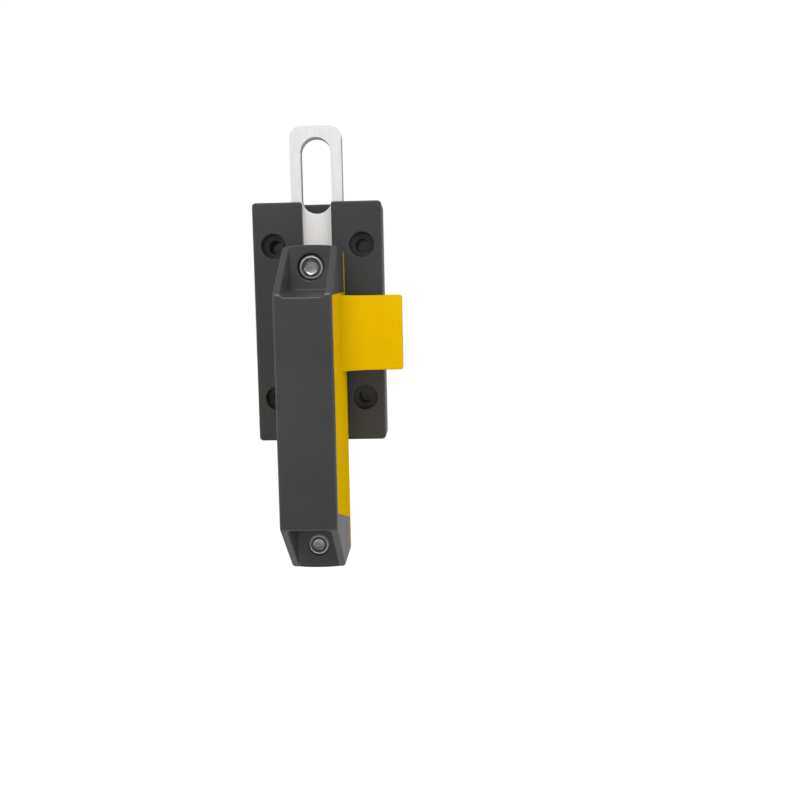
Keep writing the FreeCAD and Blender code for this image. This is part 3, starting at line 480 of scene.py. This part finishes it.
def turned(name, colour, roughness, centre, pitch, head_r=0.0):
    """Metal faced on a lathe, with fine rings about a centre. A screw, whose head's radius is given, has a duller
    socket and rim, and its socket is painted darker as shade."""
    material, tree, shader = new_material(name)
    here = place(tree, centre=centre)
    rings = node(tree, "ShaderNodeTexWave", wave_type="RINGS", rings_direction="Y")
    rings.inputs["Scale"].default_value = 1 / (WAVE_FACTOR * pitch)
    rings.inputs["Distortion"].default_value = 0.5
    rings.inputs["Detail"].default_value = 2.0
    tree.links.new(here, rings.inputs["Vector"])
    flecks = noise(tree, here, FLECK_SIZE)
    base = speckled(tree, flecks, colour, FLECK_SHADES)
    rough = spread(tree, flecks, roughness - FLECK_ROUGHNESS, roughness + FLECK_ROUGHNESS)
    relief = bump(tree, rings.outputs["Fac"], RING_DEPTH, soft_edges(tree, TURNED_EDGE_R))
    tree.links.new(relief, shader.inputs["Normal"])
    metallic = 1.0
    if head_r:
        inside = near_axis(tree, centre, SOCKET_SHARE * head_r)
        outside = rest_of(tree, near_axis(tree, centre, RIM_SHARE * head_r))
        dull = node(tree, "ShaderNodeMath", operation="MAXIMUM")
        tree.links.new(inside, dull.inputs[0])
        tree.links.new(outside, dull.inputs[1])
        # The socket painted darker, as painted shade
        base = tint(tree, inside, base, shaded(colour, SOCKET_PAINTED_SHADE))
        rough = between(tree, dull.outputs["Value"], rough, DULL_ROUGHNESS)
        metallic = ranged(tree, dull.outputs["Value"], 0.0, 1.0, 1.0, DULL_METALLIC)
    tree.links.new(base, shader.inputs["Base Color"])
    tree.links.new(rough, shader.inputs["Roughness"])
    fill(tree, shader.inputs["Metallic"], metallic)
    return material


def dress(names, material):
    """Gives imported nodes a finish."""
    for name in names:
        mesh = NODES[name].data
        mesh.materials.clear()
        mesh.materials.append(material)


def centre_of(name):
    """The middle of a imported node."""
    low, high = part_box(name)
    return (low + high) / 2


def radius_of(name):
    """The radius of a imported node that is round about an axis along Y."""
    low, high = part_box(name)
    return (high.x - low.x) / 2


class FinishBase(bpy.types.Operator):
    """Finishes the base, its back cover and the bushes"""

    bl_idname = "actuator.finish_base"
    bl_label = "Base and cover"

    def execute(self, context):
        finish = context.scene.actuator_finish
        colour = finish.base_black
        grain, soft = finish.grain, finish.soft_edge
        base = moulded(
            "base_plastic", colour, roughness=0.38, grain=grain, grain_depth=0.012 * MM, soft=soft, gloss=0.4,
        )
        dress(["base_housing"], base)
        cover = moulded(
            "cover_plastic", shaded(colour, COVER_SHADE), roughness=0.48, grain=grain, grain_depth=0.010 * MM,
            soft=soft, gloss=0.4,
        )
        dress(["back_cover"], cover)
        bearing = moulded(
            "bearing_plastic", BEARING_BLACK, roughness=0.4, grain=grain, grain_depth=0.004 * MM, soft=0.1 * MM,
        )
        dress(["front_bush", "rear_bush", "hub_washer"], bearing)
        return {"FINISHED"}


class FinishSlide(bpy.types.Operator):
    """Finishes the steel slide"""

    bl_idname = "actuator.finish_slide"
    bl_label = "Padlock slide"

    def execute(self, context):
        colour = context.scene.actuator_finish.steel
        # The slide's sideways faces are painted darker, as painted shade
        steel = brushed(
            "slide_steel", shaded(colour, SLIDE_SHADE), roughness=0.45, along=(1, 1, 0.03), metallic=0.35, side_shade=0.45,
        )
        dress(["lockout_slide"], steel)
        return {"FINISHED"}


class FinishHandle(bpy.types.Operator):
    """Finishes the grip and the yellow actuator"""

    bl_idname = "actuator.finish_handle"
    bl_label = "Grip and actuator"

    def execute(self, context):
        finish = context.scene.actuator_finish
        grain, soft = finish.grain, finish.soft_edge
        # The grip's edges carry a strong painted highlight, and its pockets painted light
        grip = moulded(
            "grip_plastic", finish.grip_black, roughness=0.32, grain=grain, grain_depth=0.006 * MM, soft=2 * soft,
            rub_and_highlight_tint=2.4, painted_recess_light=2.6,
        )
        dress(["grip_shell"], grip)
        # The actuator's corners carry painted shade
        yellow = moulded(
            "yellow_plastic", finish.yellow, roughness=0.45, grain=grain, grain_depth=0.005 * MM, soft=soft,
            gloss=0.0, flow_tint=0.04, painted_recess_light=0.4,
        )
        dress(["actuator_body", "target_cover"], yellow)
        potting = moulded(
            "potting", POTTING_BLACK, roughness=0.6, grain=grain, grain_depth=0.01 * MM, soft=0.1 * MM,
        )
        dress(["coded_target"], potting)
        return {"FINISHED"}


class FinishMetal(bpy.types.Operator):
    """Finishes the screws, the brass inserts and the steel mechanism"""

    bl_idname = "actuator.finish_metal"
    bl_label = "Screws and mechanism"

    def execute(self, context):
        colour = context.scene.actuator_finish.steel
        for name in SOCKET_SCREWS:
            screw = turned(
                name + "_steel", colour, roughness=0.16, centre=centre_of(name), pitch=0.12 * MM,
                head_r=radius_of(name),
            )
            dress([name], screw)
        dull = shaded(colour, COVER_SCREW_SHADE)
        dress(["cover_screws"], brushed("cover_screw_steel", dull, roughness=0.35, along=(1, 1, 1)))
        steel = turned(
            "mechanism_steel", shaded(colour, MECHANISM_SHADE), roughness=0.28, centre=centre_of("spindle"),
            pitch=0.2 * MM,
        )
        dress(STEEL_PARTS, steel)
        brass = turned("insert_brass", BRASS, roughness=0.3, centre=centre_of("insert_top"), pitch=0.2 * MM)
        dress(["insert_top", "insert_bottom"], brass)
        return {"FINISHED"}


def socket(tree, label, kind, default, in_out="INPUT"):
    """Puts a named socket on a node group."""
    made = tree.interface.new_socket(name=label, in_out=in_out, socket_type=kind)
    if default is not None:
        made.default_value = default


def knurl_tree():
    """Teeth set round a head: a ring of points, a pointed bar on each, made real and given a finish."""
    tree = bpy.data.node_groups.new("Knurled band", "GeometryNodeTree")
    socket(tree, "Radius", "NodeSocketFloat", 5 * MM)
    socket(tree, "Length", "NodeSocketFloat", 4 * MM)
    socket(tree, "Teeth", "NodeSocketInt", 48)
    socket(tree, "Stand", "NodeSocketFloat", 0.12 * MM)
    socket(tree, "Centre", "NodeSocketVector", (0, 0, 0))
    socket(tree, "Finish", "NodeSocketMaterial", None)
    socket(tree, "Geometry", "NodeSocketGeometry", None, "OUTPUT")
    given = node(tree, "NodeGroupInput")
    ring = node(tree, "GeometryNodeMeshCircle")
    link = tree.links.new
    link(given.outputs["Teeth"], ring.inputs["Vertices"])
    link(given.outputs["Radius"], ring.inputs["Radius"])
    tooth = node(tree, "GeometryNodeMeshCylinder")
    tooth.inputs["Vertices"].default_value = 4
    link(given.outputs["Stand"], tooth.inputs["Radius"])
    link(given.outputs["Length"], tooth.inputs["Depth"])
    outwards = node(tree, "FunctionNodeAlignRotationToVector", axis="X", pivot_axis="Z")
    spot = node(tree, "GeometryNodeInputPosition")
    link(spot.outputs["Position"], outwards.inputs["Vector"])
    teeth = node(tree, "GeometryNodeInstanceOnPoints")
    link(ring.outputs["Mesh"], teeth.inputs["Points"])
    link(tooth.outputs["Mesh"], teeth.inputs["Instance"])
    link(outwards.outputs["Rotation"], teeth.inputs["Rotation"])
    stand_up = node(tree, "GeometryNodeTransform")
    stand_up.inputs["Rotation"].default_value = (math.pi / 2, 0, 0)
    link(teeth.outputs["Instances"], stand_up.inputs["Geometry"])
    link(given.outputs["Centre"], stand_up.inputs["Translation"])
    real = node(tree, "GeometryNodeRealizeInstances")
    link(stand_up.outputs["Geometry"], real.inputs["Geometry"])
    finish = node(tree, "GeometryNodeSetMaterial")
    link(real.outputs["Geometry"], finish.inputs["Geometry"])
    link(given.outputs["Finish"], finish.inputs["Material"])
    output = node(tree, "NodeGroupOutput")
    link(finish.outputs["Geometry"], output.inputs["Geometry"])
    return tree


def made_real(name, tree, values, material):
    """Runs a tree once and keeps its result as a plain mesh object."""
    holder = bpy.data.objects.new(name + "_maker", bpy.data.meshes.new(name + "_maker"))
    bpy.context.scene.collection.objects.link(holder)
    modifier = holder.modifiers.new("Maker", "NODES")
    modifier.node_group = tree
    for item in tree.interface.items_tree:
        if item.item_type == "SOCKET" and item.in_out == "INPUT" and item.name in values:
            modifier[item.identifier] = values[item.name]
    evaluated = holder.evaluated_get(bpy.context.evaluated_depsgraph_get())
    mesh = bpy.data.meshes.new_from_object(evaluated)
    bpy.data.objects.remove(holder)
    mesh.name = name
    if not mesh.materials:
        mesh.materials.append(material)
    piece = bpy.data.objects.new(name, mesh)
    bpy.context.scene.collection.objects.link(piece)
    return piece


class KnurlScrews(bpy.types.Operator):
    """Puts a knurled band round the head of each socket screw"""

    bl_idname = "actuator.knurl_screws"
    bl_label = "Knurled screw heads"

    def execute(self, context):
        sizes = context.scene.actuator_knurl
        tree = knurl_tree()
        for name in SOCKET_SCREWS:
            radius = radius_of(name)
            height = 2 * radius * HEAD_HEIGHT_SHARE
            centre = centre_of(name)
            centre.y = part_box(name)[0].y + height / 2
            finish = NODES[name].data.materials[0]
            values = {
                "Radius": radius,
                "Length": height - 2 * sizes.rim,
                "Teeth": round(2 * math.pi * radius / sizes.pitch),
                "Stand": sizes.stand,
                "Centre": tuple(centre),
                "Finish": finish,
            }
            band = made_real(name + "_knurl", tree, values, finish)
            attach(band, "handle")
        return {"FINISHED"}


def end_in_mix(tree, share, surface, other):
    """Ends a material in a mix of two surfaces."""
    mix = node(tree, "ShaderNodeMixShader")
    tree.links.new(share, mix.inputs["Fac"])
    tree.links.new(surface, mix.inputs[1])
    tree.links.new(other, mix.inputs[2])
    output = next(n for n in tree.nodes if n.bl_idname == "ShaderNodeOutputMaterial")
    tree.links.new(mix.outputs["Shader"], output.inputs["Surface"])


def gloss_level(tree, direction, front, back):
    """How light gloss sees the room in a direction: white to the sides, darker in front and behind."""
    ramp = node(tree, "ShaderNodeValToRGB")
    ramp.color_ramp.interpolation = "EASE"
    levels = (front, 1.0, 1.0, back)
    while len(ramp.color_ramp.elements) < len(levels):
        ramp.color_ramp.elements.new(1.0)
    for stop, degrees, level in zip(ramp.color_ramp.elements, GLOSS_ANGLES, levels):
        stop.position = (1 - math.cos(math.radians(degrees))) / 2
        stop.color = (level, level, level, 1)
    tree.links.new(ranged(tree, agreement(tree, direction, BACKWARDS), -1.0, 1.0), ramp.inputs["Fac"])
    return ramp.outputs["Color"]


def for_rays(tree, level, choices):
    """A level with other values for the named kinds of ray, the last named winning."""
    path = node(tree, "ShaderNodeLightPath")
    for ray, value in choices:
        level = between(tree, path.outputs[ray], level, value)
    return level


def floor_white(front, back, point):
    """A dull floor that mostly glows for the camera, and that gloss sees darker in front of a point and behind."""
    material, tree, shader = new_material("floor_white")
    shader.inputs["Base Color"].default_value = rgba(FLOOR_COLOUR)
    shader.inputs["Roughness"].default_value = 0.9
    shader.inputs["Specular IOR Level"].default_value = 0.1
    direction = node(tree, "ShaderNodeVectorMath", operation="NORMALIZE")
    tree.links.new(place(tree, point), direction.inputs[0])
    level = gloss_level(tree, direction.outputs["Vector"], front, back)
    glow = node(tree, "ShaderNodeEmission")
    tree.links.new(for_rays(tree, level, [("Is Camera Ray", FLOOR_GLOW)]), glow.inputs["Strength"])
    share = for_rays(tree, 0.0, [("Is Camera Ray", FLOOR_GLOW_SHARE), ("Is Glossy Ray", 1.0)])
    end_in_mix(tree, share, shader.outputs["BSDF"], glow.outputs["Emission"])
    return material


def light_room(dull, front, back):
    """A room that looks white, that gloss sees darker in front and behind, and that lights dull surfaces."""
    world = bpy.data.worlds.new("Room")
    world.use_nodes = True
    tree = world.node_tree
    tree.nodes.clear()
    background = node(tree, "ShaderNodeBackground")
    background.inputs["Color"].default_value = (1, 1, 1, 1)
    direction = node(tree, "ShaderNodeTexCoord")
    level = gloss_level(tree, direction.outputs["Generated"], front, back)
    level = for_rays(tree, level, [("Is Diffuse Ray", dull), ("Is Camera Ray", 1.0)])
    tree.links.new(level, background.inputs["Strength"])
    output = node(tree, "ShaderNodeOutputWorld")
    tree.links.new(background.outputs["Background"], output.inputs["Surface"])
    bpy.context.scene.world = world


def add_lamp(name, spot, aim, side, power):
    """A square soft lamp that faces a point."""
    lamp = bpy.data.lights.new(name, "AREA")
    lamp.size = side
    lamp.energy = power
    made = bpy.data.objects.new(name, lamp)
    made.location = spot
    made.rotation_mode = "QUATERNION"
    made.rotation_quaternion = (Vector(aim) - Vector(spot)).to_track_quat("-Z", "Y")
    bpy.context.scene.collection.objects.link(made)
    return made


def sheet(name, corners, material, sides=4):
    """A flat piece of the stage, with a face for every so many corners."""
    mesh = bpy.data.meshes.new(name)
    mesh.from_pydata(corners, [], [range(i, i + sides) for i in range(0, len(corners), sides)])
    mesh.materials.append(material)
    made = bpy.data.objects.new(name, mesh)
    bpy.context.scene.collection.objects.link(made)
    return made


def one_sided(name, colour, glow):
    """A dull surface with a faint painted glow, that shows from its front and vanishes from behind."""
    material, tree, shader = new_material(name)
    shader.inputs["Base Color"].default_value = rgba(colour)
    shader.inputs["Roughness"].default_value = 0.8
    shader.inputs["Emission Color"].default_value = (1, 1, 1, 1)
    shader.inputs["Emission Strength"].default_value = glow
    geometry = node(tree, "ShaderNodeNewGeometry")
    clear = node(tree, "ShaderNodeBsdfTransparent")
    end_in_mix(tree, geometry.outputs["Backfacing"], shader.outputs["BSDF"], clear.outputs["BSDF"])
    return material


class BuildStage(bpy.types.Operator):
    """Sets up the floor, the discs behind the mounting holes, the lamps and the camera"""

    bl_idname = "actuator.build_stage"
    bl_label = "Stage"

    def execute(self, context):
        scene, stage = context.scene, context.scene.actuator_stage
        low, half = CAD_BOX[0].z - stage.floor_drop, FLOOR_HALF
        corners = [(-half, -half, low), (half, -half, low), (half, half, low), (-half, half, low)]
        foot = centre_of("grip_shell")
        foot.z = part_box("grip_shell")[0].z
        sheet("floor", corners, floor_white(stage.room_front, stage.floor_back, foot))
        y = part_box("base_housing")[1].y + BACKING_GAP
        turns = [2 * math.pi * step / BACKING_SIDES for step in range(BACKING_SIDES)]
        corners = []
        for x in (-HOLE_SPACING_X / 2, HOLE_SPACING_X / 2):
            for z in (-HOLE_SPACING_Z / 2, HOLE_SPACING_Z / 2):
                corners += [(x + BACKING_R * math.cos(a), y, z + BACKING_R * math.sin(a)) for a in turns]
        # Grey discs behind the holes, standing in for shade there, with a faint painted glow
        sheet("door_face", corners, one_sided("door_grey", BACKING_GREY, BACKING_PAINTED_GLOW), BACKING_SIDES)
        light_room(stage.room, stage.room_front, stage.room_back)
        middle = (CAD_BOX[0] + CAD_BOX[1]) / 2
        for name, spot, side, in_gloss in LAMPS:
            lamp = add_lamp(name, spot, middle, side, getattr(stage, name))
            lamp.visible_glossy = in_gloss
        camera = bpy.data.objects.new("camera", bpy.data.cameras.new("camera"))
        camera.data.lens, camera.data.sensor_width = stage.lens, SENSOR_WIDTH
        camera.data.clip_start, camera.data.clip_end = CLIP_NEAR, CLIP_FAR
        camera.location = stage.camera_place
        camera.rotation_mode = "QUATERNION"
        sight = (Vector(stage.camera_aim) - Vector(stage.camera_place)).to_track_quat("-Z", "Y")
        camera.rotation_quaternion = sight @ Quaternion((0, 0, 1), stage.camera_roll)
        scene.collection.objects.link(camera)
        scene.camera = camera
        scene.view_settings.view_transform = "Standard"
        return {"FINISHED"}


class ActuatorPanel(bpy.types.Panel):
    """Lists the steps and their settings"""

    bl_idname = "ACTUATOR_PT_steps"
    bl_label = "Door handle actuator"
    bl_space_type = "VIEW_3D"
    bl_region_type = "UI"
    bl_category = "Actuator"

    def draw(self, context):
        for group in ("actuator_finish", "actuator_knurl", "actuator_stage"):
            box = self.layout.box()
            settings = getattr(context.scene, group)
            for label in settings.__annotations__:
                box.prop(settings, label)
        for step in STEPS:
            self.layout.operator(step.bl_idname)


STEPS = (FinishBase, FinishSlide, FinishHandle, FinishMetal, KnurlScrews, BuildStage)
CLASSES = (ActuatorFinish, ActuatorKnurl, ActuatorStage, *STEPS, ActuatorPanel)


def register():
    """Makes the classes and the settings known to Blender."""
    for cls in CLASSES:
        bpy.utils.register_class(cls)
    bpy.types.Scene.actuator_finish = PointerProperty(type=ActuatorFinish)
    bpy.types.Scene.actuator_knurl = PointerProperty(type=ActuatorKnurl)
    bpy.types.Scene.actuator_stage = PointerProperty(type=ActuatorStage)


def unregister():
    """Takes the settings and the classes out again."""
    del bpy.types.Scene.actuator_stage
    del bpy.types.Scene.actuator_knurl
    del bpy.types.Scene.actuator_finish
    for cls in reversed(CLASSES):
        bpy.utils.unregister_class(cls)


def main():
    """Builds everything in order."""
    register()
    bpy.ops.actuator.finish_base()
    bpy.ops.actuator.finish_slide()
    bpy.ops.actuator.finish_handle()
    bpy.ops.actuator.finish_metal()
    bpy.ops.actuator.knurl_screws()
    bpy.ops.actuator.build_stage()


if __name__ == "__main__":
    main()
